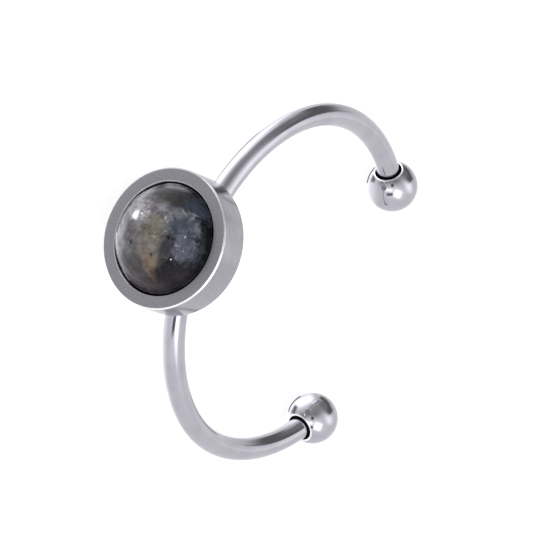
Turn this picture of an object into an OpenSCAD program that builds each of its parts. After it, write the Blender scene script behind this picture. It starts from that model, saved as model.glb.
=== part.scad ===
// Open finger ring of round steel wire, lying on its side as it rests by itself.
// A cup soldered to the outside of the hoop holds a high-domed larvikite cabochon,
// and a ball with a countersunk mouth closes each end of the wire.
// Sizes are in millimetres. The ring stands on three points: the back edge of the cup and the two balls.

/* [Hoop] */
// Diameter of the wire
wire_d = 1.3; // [1.1:0.1:1.5]
// Radius of the wire's centre line
hoop_r = 10; // [9:0.1:11.5]
// Radius of the right arm's last bend, past the hoop's widest point, where this arm opens a little
right_bend_r = 11.3; // [10:0.1:12.5]
// Angle from the cup at which the right arm's wire ends, inside its ball's mouth
right_end_angle = 128.5; // [118:0.5:138]
// Angle from the cup at which the left arm's wire ends
left_end_angle = 127; // [118:0.5:138]

/* [Cup] */
// Outer diameter of the cup
cup_d = 7.9; // [7.7:0.1:9]
// Depth of the cup, from the rim's face to its flat back
cup_depth = 1.96; // [1.8:0.02:2.6]
// Diameter of the well that holds the stone
well_d = 6.3; // [6.25:0.05:6.5]
// Depth of the well
well_depth = 1.3; // [1.1:0.1:1.5]
// Bevel on the outer edge of the rim
rim_bevel = 0.1; // [0.05:0.01:0.2]
// Bevel on the well's edge
well_bevel = 0.05; // [0.03:0.01:0.15]
// Rounding of the back edge, which the ring rests on
back_round = 0.1; // [0.1:0.05:0.4]

/* [Solder seat] */
// Height of the seat between the cup's back and the wire
seat_h = 0.43; // [0.2:0.01:0.7]
// Radius of the seat where it meets the wire
seat_r = 0.6; // [0.4:0.05:0.6]
// Radius of the seat's hollow flare under the cup
seat_flare = 0.8; // [0.3:0.05:0.8]

/* [Stone] */
// Diameter of the cabochon at its girdle
stone_d = 6.14; // [5.9:0.02:6.2]
// Width of the flat shoulder between the girdle and the foot of the dome
shoulder = 0.07; // [0.03:0.01:0.15]
// Radius of the dome
dome_r = 3.1; // [3.08:0.02:4]
// Height of the girdle, from the stone's flat base to the shoulder
girdle_h = 1.19; // [0.9:0.01:1.3]

/* [Balls] */
// Diameter of a ball
ball_d = 3; // [2.6:0.1:3.4]
// Diameter of the mouth that takes the end of the wire
mouth_d = 1.55; // [1.5:0.05:1.8]
// Depth of the mouth
mouth_depth = 0.34; // [0.2:0.01:0.5]
// Bevel on the mouth's lip
lip_bevel = 0.08; // [0.03:0.01:0.1]
// Diameter of the hidden post at each end of the wire
post_d = 0.9; // [0.7:0.05:1]
// Length of the hidden post
post_len = 1.25; // [0.8:0.05:1.4]

/* [Fits] */
// Gap between the stone's base and the floor of the well
bed_gap = 0.03; // [0.02:0.01:0.05]
// Gap round the post, in the ball's bore
post_gap = 0.03; // [0.02:0.01:0.05]

/* [Hidden] */

$fn = 96;
through = 1;

wire_r = wire_d / 2;
cup_r = cup_d / 2;
well_r = well_d / 2;
stone_r = stone_d / 2;
foot_r = stone_r - shoulder;
ball_r = ball_d / 2;
mouth_r = mouth_d / 2;

// The ring's own frame: the hoop lies in the XY plane, the cup faces -Y, and the rim's face is at y = 0
wire_y = cup_depth + seat_h + wire_r;
hoop_y = wire_y + hoop_r;

// The dome is a cap of a sphere, which stands on the girdle inside the shoulder
base_y = well_depth - bed_gap;
dome_y = base_y - girdle_h + sqrt(dome_r * dome_r - foot_r * foot_r);

// Along each ball's axis, measured from the end of the wire and away from it
mouth_floor = post_gap;
mouth_plane = mouth_floor - mouth_depth;
ball_offset = mouth_plane + sqrt(ball_r * ball_r - mouth_r * mouth_r);

// An arm past the hoop's widest point, on the +X side; its bend is hoop_r where the arm keeps to the hoop's circle
function wire_end(bend_r, angle) = [hoop_r - bend_r, hoop_y] + bend_r * [sin(angle), -cos(angle)];
function ball_centre(bend_r, angle) = wire_end(bend_r, angle) + ball_offset * [cos(angle), sin(angle)];

right_ball = ball_centre(right_bend_r, right_end_angle);
left_ball = [-ball_centre(hoop_r, left_end_angle).x, ball_centre(hoop_r, left_end_angle).y];

// Tilt and roll that bring the cup's rounded back edge and both balls down to one level
edge_r = cup_r - back_round;
edge_y = cup_depth - back_round;
skew = (right_ball.y - left_ball.y) / (right_ball.x - left_ball.x);
reach = right_ball.y - skew * right_ball.x - edge_y;
tilt = acos((ball_r - back_round) / norm([edge_r, reach])) - atan2(reach, edge_r);
roll = -asin(skew * tan(tilt));

// Shift that puts the origin on the floor, in the middle of the ring's box
function rest_y(p) = p.y * cos(tilt) - p.x * sin(roll) * sin(tilt);
front_y = dome_y * cos(tilt) - dome_r;
rear_y = max(rest_y(right_ball), rest_y(left_ball)) + ball_r;
drop = edge_y * sin(tilt) + edge_r * cos(tilt) + back_round;

// Puts the ring's own frame into its resting place
module at_rest() {
    translate([0, -(front_y + rear_y) / 2, drop])
        rotate([-tilt, 0, 0])
            rotate([0, roll, 0])
                children();
}

// Turns a lathe axis +Z into -Y, the way the cup faces, with the rim's face at z = 0
module facing_front() {
    rotate([90, 0, 0]) children();
}

// A frame at the end of an arm's wire, with +Z running on along the wire
module at_wire_end(bend_r, angle) {
    translate(wire_end(bend_r, angle))
        rotate([0, 0, angle])
            rotate([0, 90, 0])
                children();
}

// Wire bent to a radius, from the hoop's widest point on the +X side through a span of degrees
module wire_bend(bend_r, span) {
    translate([hoop_r - bend_r, hoop_y])
        rotate_extrude(angle = span, $fn = 360)
            translate([bend_r, 0])
                circle(wire_r);
}

// The plain post at the end of an arm, which its ball hides; it is rooted inside the wire
module post(bend_r, angle) {
    at_wire_end(bend_r, angle)
        translate([0, 0, -wire_r])
            cylinder(d = post_d, h = wire_r + post_len);
}

module cup_outline() {
    translate([0, back_round - cup_depth])
        square([cup_r, cup_depth - back_round - rim_bevel]);
    translate([0, -cup_depth])
        square([edge_r, cup_depth - rim_bevel]);
    translate([edge_r, back_round - cup_depth])
        circle(back_round);
    polygon([[0, -rim_bevel], [cup_r, -rim_bevel], [cup_r - rim_bevel, 0], [0, 0]]);
}

module seat_outline() {
    difference() {
        translate([0, -cup_depth - seat_flare])
            square([seat_r + seat_flare, seat_flare]);
        translate([seat_r + seat_flare, -cup_depth - seat_flare])
            circle(seat_flare);
    }
}

module cup() {
    difference() {
        rotate_extrude() cup_outline();
        translate([0, 0, -well_depth])
            cylinder(r = well_r, h = well_depth + through);
        translate([0, 0, -well_bevel])
            cylinder(r1 = well_r, r2 = well_r + 2 * well_bevel, h = 2 * well_bevel);
    }
    rotate_extrude() seat_outline();
    translate([0, 0, -wire_y])
        cylinder(r = seat_r, h = wire_y - cup_depth);
}

module hoop_and_cup() {
    color("#b4b4be")
        at_rest() {
            wire_bend(hoop_r, -90 - left_end_angle);
            wire_bend(right_bend_r, right_end_angle - 90);
            post(right_bend_r, right_end_angle);
            mirror([1, 0, 0]) post(hoop_r, left_end_angle);
            facing_front() cup();
        }
}

module stone() {
    color("#3a3d42")
        at_rest()
            facing_front() {
                translate([0, 0, -base_y]) cylinder(r = stone_r, h = girdle_h);
                intersection() {
                    translate([0, 0, -base_y]) cylinder(r = foot_r, h = base_y + dome_r);
                    translate([0, 0, -dome_y]) sphere(dome_r);
                }
            }
}

// A ball on the end of an arm, bored for the post and countersunk for the wire
module ball(bend_r, angle) {
    at_wire_end(bend_r, angle)
        difference() {
            translate([0, 0, ball_offset]) sphere(ball_r);
            translate([0, 0, mouth_floor - mouth_depth - through])
                cylinder(r = mouth_r, h = mouth_depth + through);
            translate([0, 0, mouth_plane - lip_bevel])
                cylinder(r1 = mouth_r + 2 * lip_bevel, r2 = mouth_r, h = 2 * lip_bevel);
            translate([0, 0, mouth_plane])
                cylinder(d = post_d + 2 * post_gap, h = post_len + post_gap - mouth_plane);
        }
}

module ball_right() {
    color("#a6a7b0") at_rest() ball(right_bend_r, right_end_angle);
}

module ball_left() {
    color("#a6a7b0") at_rest() mirror([1, 0, 0]) ball(hoop_r, left_end_angle);
}

hoop_and_cup();
stone();
ball_left();
ball_right();
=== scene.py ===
from math import acos, asin, atan2, ceil, cos, hypot, pi, radians, sin, sqrt, tan

import bmesh
import bpy
from mathutils import Matrix, Vector


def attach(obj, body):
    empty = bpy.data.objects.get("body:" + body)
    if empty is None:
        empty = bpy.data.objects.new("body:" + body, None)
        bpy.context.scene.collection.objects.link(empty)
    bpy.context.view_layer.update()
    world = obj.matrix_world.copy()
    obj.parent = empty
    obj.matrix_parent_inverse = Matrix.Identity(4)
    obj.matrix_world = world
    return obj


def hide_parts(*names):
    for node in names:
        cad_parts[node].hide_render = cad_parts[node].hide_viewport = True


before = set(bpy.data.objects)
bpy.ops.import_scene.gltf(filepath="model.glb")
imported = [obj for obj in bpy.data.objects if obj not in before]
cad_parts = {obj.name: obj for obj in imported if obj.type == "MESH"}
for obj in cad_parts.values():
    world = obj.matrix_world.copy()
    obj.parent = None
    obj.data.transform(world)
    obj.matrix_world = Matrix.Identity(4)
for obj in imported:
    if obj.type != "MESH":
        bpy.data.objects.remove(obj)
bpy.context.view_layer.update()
print("frame loaded:", ", ".join(sorted(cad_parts)))

# All sizes are in millimetres, in the ring's own frame: the hoop lies in the XY plane,
# the cup faces -Y, and the middle of the rim's face is the origin.

millimetre = 0.001
mergeDistance = 0.00001
bumpDistance = 0.01 * millimetre


# Mesh helpers

def addArc(bm, start, centre, angle, steps):
    # carries a vertex of an outline round a centre, in the XZ plane
    spun = bmesh.ops.spin(bm, geom=[start], cent=centre, axis=(0, 1, 0), angle=angle, steps=steps)
    return [v for v in spun["geom_last"] if isinstance(v, bmesh.types.BMVert)][0]


def addCorners(bm, corners, start=None):
    # straight lines through (radius, height, rounding) corners; returns the ones to round off
    tip = start
    rounded = []
    for radius, height, rounding in corners:
        corner = bm.verts.new((radius, 0, height))
        if tip:
            bm.edges.new((tip, corner))
        if rounding:
            rounded.append((corner, rounding))
        tip = corner
    return rounded


def roundOff(bm, rounded, segments):
    for corner, rounding in rounded:
        bmesh.ops.bevel(bm, geom=[corner], affect="VERTICES", offset=rounding, offset_type="OFFSET",
                        segments=segments, profile=0.5, material=-1)


def lathe(bm, sides):
    outline = bm.verts[:] + bm.edges[:]
    bmesh.ops.spin(bm, geom=outline, cent=(0, 0, 0), axis=(0, 0, 1), angle=2 * pi,
                   steps=sides, use_merge=True)
    bmesh.ops.remove_doubles(bm, verts=bm.verts[:], dist=mergeDistance)
    bmesh.ops.recalc_face_normals(bm, faces=bm.faces[:])


def finishPiece(name, bm, place, materials, node):
    bmesh.ops.transform(bm, matrix=place, verts=bm.verts[:])
    if place.determinant() < 0:
        bmesh.ops.reverse_faces(bm, faces=bm.faces[:])
    for face in bm.faces:
        face.smooth = True
    mesh = bpy.data.meshes.new(name)
    bm.to_mesh(mesh)
    bm.free()
    for material in materials:
        mesh.materials.append(material)
    piece = bpy.data.objects.new(name, mesh)
    bpy.context.scene.collection.objects.link(piece)
    piece.modifiers.new("flat faces stay flat", "WEIGHTED_NORMAL")
    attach(piece, "root")
    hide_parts(node)
    print("made", name, "with", len(mesh.polygons), "faces")


# The cup, turned as a lathe would with its rim up

cup = {
    "radius": 3.95,
    "depth": 1.96,
    "wellRadius": 3.15,
    "wellDepth": 1.3,
    "rimBevel": 0.075,
    "wellBevel": 0.05,
    "bevelSoftness": 0.015,
    "backRound": 0.1,
    "seatHeight": 0.43,  # the solder seat, between the cup's back and the wire
    "seatRadius": 0.6,
    "seatFlare": 0.8,
    "sides": 256,
    "cornerSteps": 8,
}


def makeCup():
    bm = bmesh.new()
    soft = cup["bevelSoftness"]
    wireY = hoopY - hoop["radius"]
    rounded = addCorners(bm, [
        (0, -cup["wellDepth"], 0),
        (cup["wellRadius"], -cup["wellDepth"], soft),
        (cup["wellRadius"], -cup["wellBevel"], soft),
        (cup["wellRadius"] + cup["wellBevel"], 0, soft),
        (cup["radius"] - cup["rimBevel"], 0, soft),
        (cup["radius"], -cup["rimBevel"], soft),
        (cup["radius"], -cup["depth"], cup["backRound"]),
        (cup["seatRadius"], -cup["depth"], cup["seatFlare"]),
        (cup["seatRadius"], -wireY, 0),
        (0, -wireY, 0),
    ])
    roundOff(bm, rounded, cup["cornerSteps"])
    lathe(bm, cup["sides"])
    materials = [turnedSteel, satinSteel, rimHighlight, wellHighlight, paintedRecessShade]
    middleRadius = (cup["radius"] + cup["wellRadius"]) / 2
    rimTolerance = 0.0001
    wellTolerance = 0.001
    # the bevels take painted highlights, and the well's wall and floor the painted recess shade
    for face in bm.faces:
        centre = face.calc_center_median()
        radius = hypot(centre.x, centre.y)
        if centre.z > -rimTolerance:
            face.material_index = materials.index(satinSteel)
        elif radius > middleRadius and centre.z > -cup["rimBevel"]:
            face.material_index = materials.index(rimHighlight)
        elif radius < middleRadius and centre.z > -cup["wellBevel"]:
            face.material_index = materials.index(wellHighlight)
        elif radius < cup["wellRadius"] + wellTolerance and centre.z > -cup["wellDepth"] - wellTolerance:
            face.material_index = materials.index(paintedRecessShade)
    finishPiece("cup", bm, facingFront, materials, "hoop_and_cup")


# The hoop: one bend from the left end to the widest point on the right, and a wider one from there

hoop = {
    "wireRadius": 0.65,
    "radius": 10,
    "rightBendRadius": 11.3,  # the right arm opens a little past the widest point
    "rightEndAngle": 128.5,  # degrees from the cup
    "leftEndAngle": 127,
    "postRadius": 0.45,
    "postLength": 1.25,
    "sides": 64,
    "stepDegrees": 0.75,
}

hoopY = cup["depth"] + cup["seatHeight"] + hoop["wireRadius"] + hoop["radius"]
rightEnd = radians(hoop["rightEndAngle"])
leftEnd = radians(hoop["leftEndAngle"])
mirrored = Matrix.Scale(-1, 4, (1, 0, 0))


def alongArm(bendRadius, angle, distance):
    bendMiddle = Vector((hoop["radius"] - bendRadius, hoopY, 0))
    outwards = Vector((sin(angle), -cos(angle), 0))
    forwards = Vector((cos(angle), sin(angle), 0))
    return bendMiddle + bendRadius * outwards + distance * forwards


def atWireEnd(bendRadius, angle):
    place = Matrix.Translation(alongArm(bendRadius, angle, 0))
    return place @ Matrix.Rotation(angle, 4, "Z") @ Matrix.Rotation(radians(90), 4, "Y")


def addPost(bm, edges, direction):
    # closes the end of the wire and draws the plain post out of it
    face = bmesh.ops.contextual_create(bm, geom=edges)["faces"][0]
    bmesh.ops.inset_individual(bm, faces=[face], thickness=hoop["wireRadius"] - hoop["postRadius"])
    post = bmesh.ops.extrude_discrete_faces(bm, faces=[face])["faces"][0]
    bmesh.ops.translate(bm, vec=direction * hoop["postLength"], verts=post.verts[:])


def makeHoop():
    bm = bmesh.new()
    start = mirrored @ atWireEnd(hoop["radius"], leftEnd)
    circle = bmesh.ops.create_circle(bm, radius=hoop["wireRadius"], segments=hoop["sides"],
                                     matrix=start)
    firstEdges = bm.edges[:]
    step = radians(hoop["stepDegrees"])
    toWidest = leftEnd + radians(90)
    spun = bmesh.ops.spin(bm, geom=circle["verts"] + firstEdges, cent=(0, hoopY, 0),
                          axis=(0, 0, 1), angle=toWidest, steps=ceil(toWidest / step))
    bendMiddle = (hoop["radius"] - hoop["rightBendRadius"], hoopY, 0)
    lastBend = rightEnd - radians(90)
    spun = bmesh.ops.spin(bm, geom=spun["geom_last"], cent=bendMiddle,
                          axis=(0, 0, 1), angle=lastBend, steps=ceil(lastBend / step))
    lastEdges = [e for e in spun["geom_last"] if isinstance(e, bmesh.types.BMEdge)]
    addPost(bm, firstEdges, Vector((-cos(leftEnd), sin(leftEnd), 0)))
    addPost(bm, lastEdges, Vector((cos(rightEnd), sin(rightEnd), 0)))
    bmesh.ops.recalc_face_normals(bm, faces=bm.faces[:])
    finishPiece("hoop", bm, atRest, [polishedSteel], "hoop_and_cup")


# The stone, a high dome on a straight girdle

stone = {
    "radius": 3.07,
    "shoulder": 0.07,
    "domeRadius": 3.1,
    "girdleHeight": 1.19,
    "bedGap": 0.03,
    "edgeSoftness": 0.02,
    "sides": 192,
    "domeSteps": 64,
    "cornerSteps": 5,
}

domeFoot = stone["radius"] - stone["shoulder"]
domeY = (cup["wellDepth"] - stone["bedGap"] - stone["girdleHeight"]
         + sqrt(stone["domeRadius"] ** 2 - domeFoot ** 2))


def makeStone():
    bm = bmesh.new()
    top = bm.verts.new((0, 0, stone["domeRadius"] - domeY))
    sweep = asin(domeFoot / stone["domeRadius"])
    foot = addArc(bm, top, (0, 0, -domeY), sweep, stone["domeSteps"])
    base = stone["bedGap"] - cup["wellDepth"]
    rounded = addCorners(bm, [
        (stone["radius"], base + stone["girdleHeight"], stone["edgeSoftness"]),
        (stone["radius"], base, stone["edgeSoftness"]),
        (0, base, 0),
    ], foot)
    roundOff(bm, rounded, stone["cornerSteps"])
    lathe(bm, stone["sides"])
    finishPiece("stone_dome", bm, facingFront, [larvikite], "stone")


# The balls, each turned with its mouth down and the wire's end at height 0

ball = {
    "radius": 1.5,
    "mouthRadius": 0.775,
    "mouthDepth": 0.34,
    "lipBevel": 0.08,
    "lipSoftness": 0.012,
    "lipHighlightHeight": 0.09,  # height above the mouth's plane up to which the ball carries the painted lip highlight
    "postGap": 0.03,
    "sides": 128,
    "shellSteps": 80,
    "cornerSteps": 4,
}

mouthPlane = ball["postGap"] - ball["mouthDepth"]
ballOffset = mouthPlane + sqrt(ball["radius"] ** 2 - ball["mouthRadius"] ** 2)
rightBall = alongArm(hoop["rightBendRadius"], rightEnd, ballOffset)
leftBall = mirrored @ alongArm(hoop["radius"], leftEnd, ballOffset)


def makeBall(name, place, node):
    bm = bmesh.new()
    far = bm.verts.new((0, 0, ballOffset + ball["radius"]))
    lipTop = mouthPlane + ball["lipBevel"]
    reach = ballOffset - lipTop + ball["mouthRadius"]
    spare = ball["radius"] ** 2 - (ballOffset - lipTop) ** 2 - ball["mouthRadius"] ** 2
    lipWidth = (sqrt(reach ** 2 + 2 * spare) - reach) / 2  # where the 45 degree bevel meets the ball
    sweep = pi - asin((ball["mouthRadius"] + lipWidth) / ball["radius"])
    lip = addArc(bm, far, (0, 0, ballOffset), sweep, ball["shellSteps"])
    boreRadius = hoop["postRadius"] + ball["postGap"]
    boreEnd = hoop["postLength"] + ball["postGap"]
    rounded = addCorners(bm, [
        (ball["mouthRadius"], lipTop, ball["lipSoftness"]),
        (ball["mouthRadius"], ball["postGap"], 0),
        (boreRadius, ball["postGap"], 0),
        (boreRadius, boreEnd, 0),
        (0, boreEnd, 0),
    ], lip)
    roundOff(bm, rounded, ball["cornerSteps"])
    lathe(bm, ball["sides"])
    materials = [polishedSteel, lipHighlight, paintedRecessShade]
    shellTolerance = 0.005
    # the mouth's inside takes the painted recess shade, and the lip and the band just above it the
    # painted lip highlight
    for face in bm.faces:
        centre = face.calc_center_median()
        fromMiddle = (centre - Vector((0, 0, ballOffset))).length
        onShell = fromMiddle > ball["radius"] - shellTolerance
        if centre.z > lipTop and not onShell:
            face.material_index = materials.index(paintedRecessShade)
        elif centre.z < mouthPlane + ball["lipHighlightHeight"]:
            face.material_index = materials.index(lipHighlight)
    finishPiece(name, bm, place, materials, node)


# The ring rests on the cup's back edge and on both balls, which sets its tilt and roll

def restPlace():
    edgeZ = cup["radius"] - cup["backRound"]
    edgeY = cup["depth"] - cup["backRound"]
    skew = (rightBall.y - leftBall.y) / (rightBall.x - leftBall.x)
    reach = rightBall.y - skew * rightBall.x - edgeY
    tilt = acos((ball["radius"] - cup["backRound"]) / hypot(edgeZ, reach)) - atan2(reach, edgeZ)
    roll = -asin(skew * tan(tilt))
    turn = Matrix.Rotation(-tilt, 4, "X") @ Matrix.Rotation(roll, 4, "Y")
    frontY = domeY * cos(tilt) - stone["domeRadius"]
    rearY = max((turn @ rightBall).y, (turn @ leftBall).y) + ball["radius"]
    lift = edgeY * sin(tilt) + edgeZ * cos(tilt) + cup["backRound"]
    return Matrix.Translation((0, -(frontY + rearY) / 2, lift)) @ turn


atRest = Matrix.Scale(millimetre, 4) @ restPlace()
facingFront = atRest @ Matrix.Rotation(radians(90), 4, "X")  # a lathe's +Z becomes -Y


# Shader maths: an expression on values adds its Math nodes

class Value:
    def __init__(self, tree, socket=None):
        self.tree = tree
        self.socket = socket

    def node(self, kind, settings, inputs, output=0):
        made = self.tree.nodes.new(kind)
        for name, setting in settings.items():
            setattr(made, name, setting)
        for name, value in inputs.items():
            if isinstance(value, Value):
                self.tree.links.new(value.socket, made.inputs[name])
            else:
                made.inputs[name].default_value = value
        return Value(self.tree, made.outputs[output] if made.outputs else None)

    def maths(self, operation, *values):
        return self.node("ShaderNodeMath", {"operation": operation}, dict(enumerate(values)))

    def vector(self, operation, *values):
        output = "Value" if operation in ("DOT_PRODUCT", "LENGTH", "DISTANCE") else "Vector"
        settings = {"operation": operation}
        return self.node("ShaderNodeVectorMath", settings, dict(enumerate(values)), output)

    def absolute(self):
        return self.maths("ABSOLUTE", self)

    def __add__(self, other):
        return self.maths("ADD", self, other)

    def __radd__(self, other):
        return self.maths("ADD", other, self)

    def __sub__(self, other):
        return self.maths("SUBTRACT", self, other)

    def __rsub__(self, other):
        return self.maths("SUBTRACT", other, self)

    def __mul__(self, other):
        return self.maths("MULTIPLY", self, other)

    def __rmul__(self, other):
        return self.maths("MULTIPLY", other, self)

    def smooth(self, zeroAt, oneAt):
        return self.node("ShaderNodeMapRange", {"interpolation_type": "SMOOTHSTEP"},
                         {"Value": self, "From Min": zeroAt, "From Max": oneAt})

    def mix(self, first, second):
        # this value is the factor between two colours
        return self.node("ShaderNodeMix", {"data_type": "RGBA"},
                         {0: self, 6: first, 7: second}, output=2)

    def noise(self, scale, detail, roughness=0.5, distortion=0, output=0):
        # this value is a place, and scale is in bumps to a millimetre
        return self.node("ShaderNodeTexNoise", {}, {
            "Vector": self, "Scale": scale, "Detail": detail,
            "Roughness": roughness, "Distortion": distortion}, output)

    def bump(self, strength):
        return self.node("ShaderNodeBump", {}, {
            "Height": self, "Strength": strength, "Distance": bumpDistance})


def colour(red, green, blue):
    return (red, green, blue, 1)


def newMaterial(name):
    material = bpy.data.materials.new(name)
    material.use_nodes = True
    material.node_tree.nodes.clear()
    return material


def ringCoordinates(material):
    # Object coordinates turned back into the ring's own frame, in millimetres
    place = restPlace()
    where = Value(material.node_tree).node("ShaderNodeTexCoord", {}, {}, "Object")
    return where.node("ShaderNodeMapping", {"vector_type": "TEXTURE"}, {
        "Vector": where,
        "Location": millimetre * place.translation,
        "Rotation": place.to_euler(),
        "Scale": (millimetre,) * 3,
    })


def addShader(material, sockets):
    tree = Value(material.node_tree)
    shader = tree.node("ShaderNodeBsdfPrincipled", {}, sockets)
    tree.node("ShaderNodeOutputMaterial", {}, {"Surface": shader})


# The finishes: a noise is given as its scale and detail, and a range says where it goes
# from the first colour to the second

# painted shade: a near-black colour, faintly mottled, for the cup's well round the stone and the balls'
# mouths
recess = {
    "colour": colour(0.012, 0.012, 0.014),
    "shadeMottleColour": colour(0.03, 0.03, 0.033),
    "shadeMottle": (5, 3),
    "shadeMottleRange": (0.3, 0.8),
    "metallic": 0.6,
    "roughness": 0.6,
}


def makePaintedRecessShade():
    material = newMaterial("painted recess shade")
    shadeMottle = ringCoordinates(material).noise(*recess["shadeMottle"])
    tint = shadeMottle.smooth(*recess["shadeMottleRange"]).mix(recess["colour"], recess["shadeMottleColour"])
    addShader(material, {
        "Base Color": tint, "Metallic": recess["metallic"], "Roughness": recess["roughness"]})
    return material


polished = {
    "colour": colour(0.455, 0.452, 0.505),
    "dullColour": colour(0.42, 0.417, 0.465),
    "cloud": (0.9, 3),
    "cloudRange": (0.35, 0.65),
    "scratches": (14, 4),
    "scratchRange": (0.4, 0.8),
    "roughness": 0.04,
    "scratchRoughness": 0.05,
    "scratchBump": 0.02,
    "mouthShadeReach": 1.3,  # painted shade: the wire is dark nearer than this to a ball's middle, deep in the mouth
    "mouthShadeBlur": 0.02,
}


def makePolishedSteel():
    material = newMaterial("polished steel")
    where = ringCoordinates(material)
    cloud = where.noise(*polished["cloud"])
    scratches = where.noise(*polished["scratches"])
    tint = cloud.smooth(*polished["cloudRange"]).mix(polished["colour"], polished["dullColour"])
    reach = polished["mouthShadeReach"]
    blur = polished["mouthShadeBlur"]
    # painted shade: the wire turns near-black deep in each ball's mouth
    for middle in (rightBall, leftBall):
        mouthShade = where.vector("DISTANCE", where, middle).smooth(reach + blur, reach - blur)
        tint = mouthShade.mix(tint, recess["colour"])
    scratched = scratches.smooth(*polished["scratchRange"])
    addShader(material, {
        "Base Color": tint,
        "Metallic": 1,
        "Roughness": polished["roughness"] + polished["scratchRoughness"] * scratched,
        "Normal": scratches.bump(polished["scratchBump"]),
    })
    return material


turned = {
    "colour": colour(0.29, 0.288, 0.318),
    "paleColour": colour(0.42, 0.417, 0.465),
    "squeeze": 9,  # how much closer the tool marks lie along the cup's axis than round it
    "grain": (2.4, 4),
    "grainRange": (0.05, 0.95),
    "roughness": 0.14,
    "grainRoughness": 0.05,
    "grainBump": 0.05,
}


def makeTurnedSteel():
    material = newMaterial("turned steel")
    where = ringCoordinates(material)
    squeezed = where.node("ShaderNodeMapping", {}, {
        "Vector": where, "Scale": (1, turned["squeeze"], 1)})
    grain = squeezed.noise(*turned["grain"])
    addShader(material, {
        "Base Color": grain.smooth(*turned["grainRange"]).mix(turned["colour"], turned["paleColour"]),
        "Metallic": 1,
        "Roughness": turned["roughness"] + turned["grainRoughness"] * grain,
        "Normal": grain.bump(turned["grainBump"]),
    })
    return material


satin = {
    "colour": colour(0.295, 0.295, 0.322),
    "shadeColour": colour(0.25, 0.25, 0.273),
    "grain": (9, 3),
    "grainRange": (0.3, 0.7),
    "roughness": 0.38,
    "grainBump": 0.2,
}


def makeSatinSteel():
    material = newMaterial("satin steel")
    grain = ringCoordinates(material).noise(*satin["grain"])
    addShader(material, {
        "Base Color": grain.smooth(*satin["grainRange"]).mix(satin["shadeColour"], satin["colour"]),
        "Metallic": 1,
        "Roughness": satin["roughness"],
        "Normal": grain.bump(satin["grainBump"]),
    })
    return material


# painted highlights: near-white colour on the rim's and the well's bevels, brightest on the side the
# light falls on, and on the balls' lips
highlighted = {
    "colour": colour(0.95, 0.95, 0.97),
    "dullColour": colour(0.8, 0.8, 0.84),
    "grain": (6, 2),
    "grainRange": (0.3, 0.7),
    "litSideRange": (-1.5, 0.5),  # millimetres towards the lit side, from satin to the painted highlight
    "roughness": 0.3,
    # the side on which each edge carries its painted highlight, as a direction in the ring's frame
    "rimSide": (0.6, 0, 0.8),
    "wellSide": (-0.6, 0, -0.8),
    "lipSide": (0, 1, 0),
}


def makeEdgeHighlight(name, litSide):
    material = newMaterial(name)
    where = ringCoordinates(material)
    grain = where.noise(*highlighted["grain"])
    bright = grain.smooth(*highlighted["grainRange"]).mix(highlighted["colour"], highlighted["dullColour"])
    side = where.vector("DOT_PRODUCT", where, litSide) + grain
    addShader(material, {
        "Base Color": side.smooth(*highlighted["litSideRange"]).mix(satin["colour"], bright),
        "Metallic": 1,
        "Roughness": highlighted["roughness"],
    })
    return material


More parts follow.
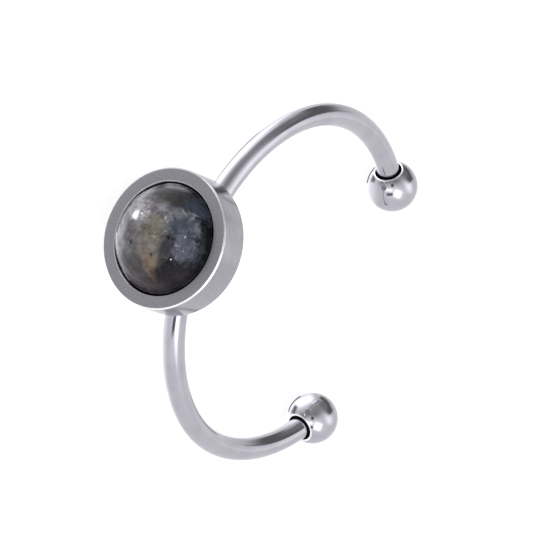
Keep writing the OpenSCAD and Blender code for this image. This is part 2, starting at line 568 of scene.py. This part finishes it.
feldspar = {
    "body": colour(0.003, 0.003, 0.004),
    "bodyCloud": colour(0.01, 0.011, 0.015),
    # white for the painted highlight and the painted glints
    "paintedHighlight": colour(1, 1, 1),
    "noPaintedHighlight": colour(0, 0, 0),
    "paintedHighlightGlow": 0.3,
    "roughness": 0.09,
    "specular": 0.08,
    "bump": 0.05,
    # noises: scale, detail, and then roughness and distortion where they are set
    "cloud": (0.8, 4),
    "ragged": (3.2, 6, 0.7),
    "mottle": (2.3, 5, 0.5, 0.6),
    "glintGrain": (5.5, 2, 0.6),
    "swirl": (1.7, 3),
    "cloudRange": (0.35, 0.7),
    "mottleRange": (0.3, 0.7),
    "glintGrainRange": (0.56, 0.7),
    "swirlReach": 0.3,  # millimetres by which the swirl moves the fields
    "mottleLow": 0.68,  # brightness where the mottle is darkest
    "mottleSpread": 0.64,
    "glintEdge": 0.6,
    "glintRagged": 0.5,
    "paintedHighlightEdge": 0.6,
    "paintedHighlightRagged": 1.2,
    # fields of feldspar, stains, cracks and specks, with painted reflections, a painted glow near the
    # highlight and painted shade at the lower right, in millimetres on the ring's own axes:
    # down is along its X, across along its Z, and turn is in degrees
    "flecks": {
        # name: down, across, half down, half across, turn, edge, ragged, colour
        "navy field": (-2.0, 1.4, 0.7, 1.1, 0, 0.5, 0.8, (0.036, 0.044, 0.064)),
        "grey field": (0.0, -0.2, 2.25, 1.65, 0, 0.45, 0.7, (0.125, 0.118, 0.125)),
        # painted reflection: pale bands along the dome's left and upper left edge
        "left edge reflection": (0.6, -1.75, 1.3, 0.65, 0, 0.6, 0.3, (0.24, 0.24, 0.28)),
        "upper edge reflection": (-1.9, -1.6, 0.6, 0.6, 0, 0.7, 0.3, (0.34, 0.34, 0.38)),
        "top shade": (-2.4, 0.2, 0.4, 1.0, 0, 0.5, 0.3, (0.034, 0.031, 0.036)),
        # painted rim light along the dome's top edge
        "top rim light": (-2.85, -0.5, 0.18, 0.95, 0, 0.5, 0.2, (0.27, 0.27, 0.3)),
        "brown shade": (-2.05, 0.75, 0.25, 0.45, 0, 0.5, 0.8, (0.03, 0.028, 0.025)),
        # dark violet tone with painted shade, darkening the bottom of the dome
        "lower violet shade": (2.45, 0.1, 0.85, 1.5, 0, 0.6, 0.3, (0.042, 0.036, 0.042)),
        "low haze": (2.45, -1.5, 0.4, 0.45, 0, 0.6, 0.3, (0.24, 0.23, 0.26)),
        "brown field": (0.75, 0.72, 1.15, 0.6, 0, 0.6, 0.6, (0.158, 0.14, 0.123)),
        "olive field": (-0.4, 0.6, 0.7, 0.8, 0, 0.4, 0.8, (0.15, 0.138, 0.115)),
        "olive spot": (-0.25, 0.15, 0.22, 0.3, 0, 0.5, 0.8, (0.1, 0.088, 0.068)),
        "green field": (-0.6, 1.3, 0.5, 0.25, 0, 0.5, 0.8, (0.1, 0.106, 0.1)),
        "upper grey": (-1.3, 1.4, 0.45, 0.55, 0, 0.6, 0.8, (0.16, 0.16, 0.176)),
        # painted glow round the painted highlight
        "highlight glow": (-0.9, -0.85, 0.6, 0.75, 8, 0.9, 0.9, (0.3, 0.29, 0.32)),
        "lilac spot": (-1.55, 0.42, 0.35, 0.3, 0, 0.6, 0.3, (0.2, 0.19, 0.215)),
        "violet streak": (0.15, -0.85, 0.6, 0.3, 0, 0.5, 0.8, (0.13, 0.125, 0.14)),
        "low shade": (1.95, 0.0, 0.5, 0.9, 0, 0.7, 0.5, (0.052, 0.047, 0.053)),
        "warm field": (1.45, 1.0, 0.5, 0.48, 0, 0.5, 0.6, (0.13, 0.102, 0.08)),
        "orange stain": (2.05, 1.05, 0.28, 0.18, 0, 0.6, 0.8, (0.1, 0.07, 0.048)),
        "plum stain": (2.45, 0.8, 0.18, 0.3, 0, 0.6, 0.5, (0.045, 0.031, 0.033)),
        "blue field": (-0.9, 1.9, 0.75, 0.6, 0, 0.35, 0.8, (0.06, 0.069, 0.09)),
        "pale blue field": (0.05, 2.27, 0.75, 0.48, 0, 0.5, 1.2, (0.082, 0.088, 0.116)),
        # painted shade: the dome's lower right side goes dark
        "lower right shade": (1.75, 1.95, 0.55, 0.95, -25, 0.3, 0.2, (0.018, 0.016, 0.018)),
        "dark seam": (0.4, 1.5, 0.85, 0.17, 4, 0.8, 0.8, (0.03, 0.03, 0.036)),
        "seam head": (-0.2, 1.62, 0.13, 0.2, 0, 0.6, 0.5, (0.01, 0.01, 0.011)),
        "crack": (1.22, 1.98, 0.04, 0.62, -25, 0.5, 0.4, (0.012, 0.012, 0.014)),
        "arc": (-1.76, 1.5, 0.035, 0.27, 25, 0.5, 1.0, (0.19, 0.19, 0.21)),
        "upper jag": (-1.8, 1.84, 0.06, 0.2, -3, 0.8, 1.2, (0.17, 0.175, 0.195)),
        "right jag": (-1.5, 1.94, 0.27, 0.08, -20, 0.8, 1.2, (0.16, 0.165, 0.185)),
        "right edge": (-1.12, 2.38, 0.3, 0.075, -25, 0.8, 1.2, (0.13, 0.135, 0.155)),
        "left speck": (0.8, -0.45, 0.12, 0.09, 0, 0.5, 0.8, (0.04, 0.04, 0.045)),
        "middle speck": (1.0, 0.92, 0.08, 0.06, 0, 0.5, 0.3, (0.03, 0.025, 0.025)),
        "low speck": (1.66, 1.34, 0.13, 0.08, 0, 0.5, 0.8, (0.02, 0.018, 0.018)),
        "low spark": (0.9, 1.95, 0.045, 0.04, 0, 0.5, 0.3, (0.7, 0.7, 0.68)),
        "middle spark": (-0.48, 2.2, 0.06, 0.04, 0, 0.5, 0.3, (0.4, 0.4, 0.4)),
        "upper spark": (-1.08, 0.97, 0.07, 0.04, 0, 0.5, 0.3, (0.5, 0.5, 0.45)),
    },
    # painted glints: white sparkle, strongest round the painted highlight
    "paintedGlints": [
        # down, across, half down, half across, strength
        (-0.9, -0.6, 0.6, 0.75, 0.45),
        (0.0, 2.2, 0.9, 0.45, 0.14),
        (-1.7, 2.0, 0.3, 0.6, 0.12),
        (-0.5, 0.9, 0.6, 0.7, 0.1),
    ],
    # painted highlights: white patches, glowing too, where a lamp's highlight falls on the dome
    "paintedHighlights": [
        # down, across, half down, half across
        (-0.68, -0.85, 0.2, 0.23),
        (-0.8, -0.45, 0.05, 0.05),
    ],
}


def makeLarvikite():
    material = newMaterial("larvikite")
    where = ringCoordinates(material)
    ragged = where.noise(*feldspar["ragged"])
    swirl = where.noise(*feldspar["swirl"], output="Color")
    swirlReach = feldspar["swirlReach"]
    swirled = where.vector("MULTIPLY_ADD", swirl, (swirlReach,) * 3, where)
    centring = swirlReach / 2  # a noise's middle value is a half
    through = 1000  # a field goes right through the stone

    def patch(down, across, halfDown, halfAcross, turn, edge, raggedness):
        spot = where.node("ShaderNodeMapping", {"vector_type": "TEXTURE"}, {
            "Vector": swirled,
            "Location": (down + centring, 0, across + centring),
            "Rotation": (0, radians(turn), 0),
            "Scale": (halfDown, through, halfAcross),
        })
        distance = where.vector("LENGTH", spot) + raggedness * (ragged - 0.5) * 2
        return distance.smooth(1 + edge, 1 - edge)

    cloud = where.noise(*feldspar["cloud"]).smooth(*feldspar["cloudRange"])
    tint = cloud.mix(feldspar["body"], feldspar["bodyCloud"])
    for *shape, shade in feldspar["flecks"].values():
        tint = patch(*shape).mix(tint, colour(*shade))
    mottle = where.noise(*feldspar["mottle"]).smooth(*feldspar["mottleRange"])
    brightness = feldspar["mottleLow"] + feldspar["mottleSpread"] * mottle
    tint = where.vector("MULTIPLY", tint, brightness)
    glintGrain = where.noise(*feldspar["glintGrain"]).smooth(*feldspar["glintGrainRange"])
    # painted glints, scattered by a fine grain
    for *shape, strength in feldspar["paintedGlints"]:
        glinting = patch(*shape, 0, feldspar["glintEdge"], feldspar["glintRagged"]) * glintGrain
        tint = (strength * glinting).mix(tint, feldspar["paintedHighlight"])
    # the painted highlight is white and glows though it is no lamp
    paintedHighlight = sum(patch(*shape, 0, feldspar["paintedHighlightEdge"], feldspar["paintedHighlightRagged"])
                for shape in feldspar["paintedHighlights"])
    addShader(material, {
        "Base Color": paintedHighlight.mix(tint, feldspar["paintedHighlight"]),
        "Roughness": feldspar["roughness"],
        "Specular IOR Level": feldspar["specular"],
        "Emission Color": paintedHighlight.mix(feldspar["noPaintedHighlight"], feldspar["paintedHighlight"]),
        "Emission Strength": feldspar["paintedHighlightGlow"],
        "Normal": ragged.bump(feldspar["bump"]),
    })
    return material


polishedSteel = makePolishedSteel()
turnedSteel = makeTurnedSteel()
satinSteel = makeSatinSteel()
rimHighlight = makeEdgeHighlight("burnished rim", highlighted["rimSide"])
wellHighlight = makeEdgeHighlight("burnished well edge", highlighted["wellSide"])
lipHighlight = makeEdgeHighlight("burnished lip", highlighted["lipSide"])
paintedRecessShade = makePaintedRecessShade()
larvikite = makeLarvikite()
print("materials made")

makeHoop()
makeCup()
makeStone()
makeBall("ball_right_shell", atRest @ atWireEnd(hoop["rightBendRadius"], rightEnd), "ball_right")
makeBall("ball_left_shell", atRest @ mirrored @ atWireEnd(hoop["radius"], leftEnd), "ball_left")
print("pieces made")


# Floor, light and camera

floor = {
    "halfSide": 2000,
    "colour": colour(0.45, 0.45, 0.45),
    "glow": 0.75,
}


def makeFloor():
    bm = bmesh.new()
    bmesh.ops.create_grid(bm, x_segments=2, y_segments=2, size=floor["halfSide"] * millimetre)
    mesh = bpy.data.meshes.new("floor")
    bm.to_mesh(mesh)
    bm.free()
    plane = bpy.data.objects.new("floor", mesh)
    bpy.context.scene.collection.objects.link(plane)
    material = newMaterial("pale floor")
    addShader(material, {
        "Base Color": floor["colour"], "Roughness": 1, "Specular IOR Level": 0,
        "Emission Color": colour(1, 1, 1), "Emission Strength": floor["glow"]})
    mesh.materials.append(material)
    plane.visible_glossy = False  # polished pieces show the studio's lights on every side


view = {
    "aim": (-0.27, 0.374, 3.427),
    "azimuth": -1.301,
    "elevation": 40.783,
    "roll": 112.34,
    "distance": 229.66,
    "lens": 269,
    "clipStart": 10,
}


def viewTurn():
    return (Matrix.Rotation(radians(view["azimuth"]), 4, "Z")
            @ Matrix.Rotation(radians(90 - view["elevation"]), 4, "X")
            @ Matrix.Rotation(radians(view["roll"]), 4, "Z"))


def makeCamera():
    turn = viewTurn()
    away = turn @ Vector((0, 0, view["distance"]))
    place = Matrix.Translation(millimetre * (Vector(view["aim"]) + away)) @ turn
    lens = bpy.data.cameras.new("camera")
    lens.lens = view["lens"]
    lens.clip_start = view["clipStart"] * millimetre
    camera = bpy.data.objects.new("camera", lens)
    bpy.context.scene.collection.objects.link(camera)
    camera.matrix_world = place
    bpy.context.scene.camera = camera


# The studio round the ring, drawn as a mirror ball seen from the camera would show it:
# across and up run from -1 to 1 over the ball, and turn is in degrees
studio = {
    "tent": 1.05,
    "shapes": {
        # name: across, up, half width, half height, turn, bend, edge, brightness
        "pale left wall": (-1.0, -0.3, 0.24, 0.75, 0, 0, 0.3, 1.9),
        "white ceiling": (-0.45, 0.62, 0.5, 0.15, 22, 0, 0.16, 2.7),
        "left rim": (-0.94, 0.25, 0.05, 0.3, -15, 0, 0.07, 2.4),
        "dark rim": (-0.8, 0.56, 0.42, 0.028, 55, 0.52, 0.025, 0.1),
        "grey ceiling": (0.28, 0.42, 0.4, 0.24, 32, 0, 0.2, 0.48),
        "grey wall": (-0.14, 0.16, 0.38, 0.1, 8, 0, 0.13, 0.4),
        "left flag": (-0.71, 0.33, 0.085, 0.18, -20, 0, 0.07, 0.3),
        "side window": (0.63, -0.03, 0.1, 0.2, 15, 0, 0.14, 2.0),
        "right shade": (0.55, 0.42, 0.3, 0.13, -52, 0.3, 0.1, 0.32),
        "right wedge": (0.67, 0.3, 0.1, 0.1, -42, 0, 0.04, 0.24),
        "right flag": (0.6, 0.56, 0.38, 0.06, -58, 0.75, 0.04, 0.2),
        "window glow": (0.12, -0.28, 0.34, 0.22, -10, 0, 0.16, 1.35),
        "left window": (-0.14, -0.17, 0.15, 0.05, -5, 0, 0.05, 2.6),
        "right window": (0.2, -0.31, 0.14, 0.14, -20, 0, 0.08, 3.0),
        "bar": (-0.1, -0.34, 0.12, 0.05, 0, 0, 0.03, 0.2),
        "lens": (-0.01, 0.01, 0.05, 0.055, 0, 0, 0.03, 0.05),
        "lamp": (-0.31, 0.14, 0.02, 0.03, 0, 0, 0.03, 2.4),
        "tube": (0.086, 0.633, 0.12, 0.015, 37, 0, 0.03, 2.2),
    },
}


def insideShape(across, up, middleX, middleY, halfWidth, halfHeight, degrees, bend, edge):
    # 1 inside a turned and bent bar with soft edges, and 0 outside it
    x = across - middleX
    y = up - middleY
    cosine = cos(radians(degrees))
    sine = sin(radians(degrees))
    along = x * cosine + y * sine
    over = y * cosine - x * sine + bend * along * along
    inWidth = along.absolute().smooth(halfWidth + edge, halfWidth - edge)
    inHeight = over.absolute().smooth(halfHeight + edge, halfHeight - edge)
    return inWidth * inHeight


def makeLight():
    world = bpy.data.worlds.new("studio")
    bpy.context.scene.world = world
    world.use_nodes = True
    world.node_tree.nodes.clear()
    tree = Value(world.node_tree)
    turn = viewTurn()
    direction = tree.node("ShaderNodeTexCoord", {}, {}, "Generated")
    halfway = tree.vector("NORMALIZE", tree.vector("ADD", direction, turn @ Vector((0, 0, 1))))
    across = tree.vector("DOT_PRODUCT", halfway, turn @ Vector((1, 0, 0)))
    up = tree.vector("DOT_PRODUCT", halfway, turn @ Vector((0, 1, 0)))
    light = studio["tent"]
    for *shape, brightness in studio["shapes"].values():
        light = light + insideShape(across, up, *shape) * (brightness - light)
    seenDirectly = tree.node("ShaderNodeLightPath", {}, {}, "Is Camera Ray")
    light = light + seenDirectly * (studio["tent"] - light)
    sky = tree.node("ShaderNodeBackground", {}, {"Color": colour(1, 1, 1), "Strength": light})
    tree.node("ShaderNodeOutputWorld", {}, {"Surface": sky})


makeFloor()
makeLight()
makeCamera()
bpy.context.scene.view_settings.view_transform = "Standard"
print("floor, light and camera made")
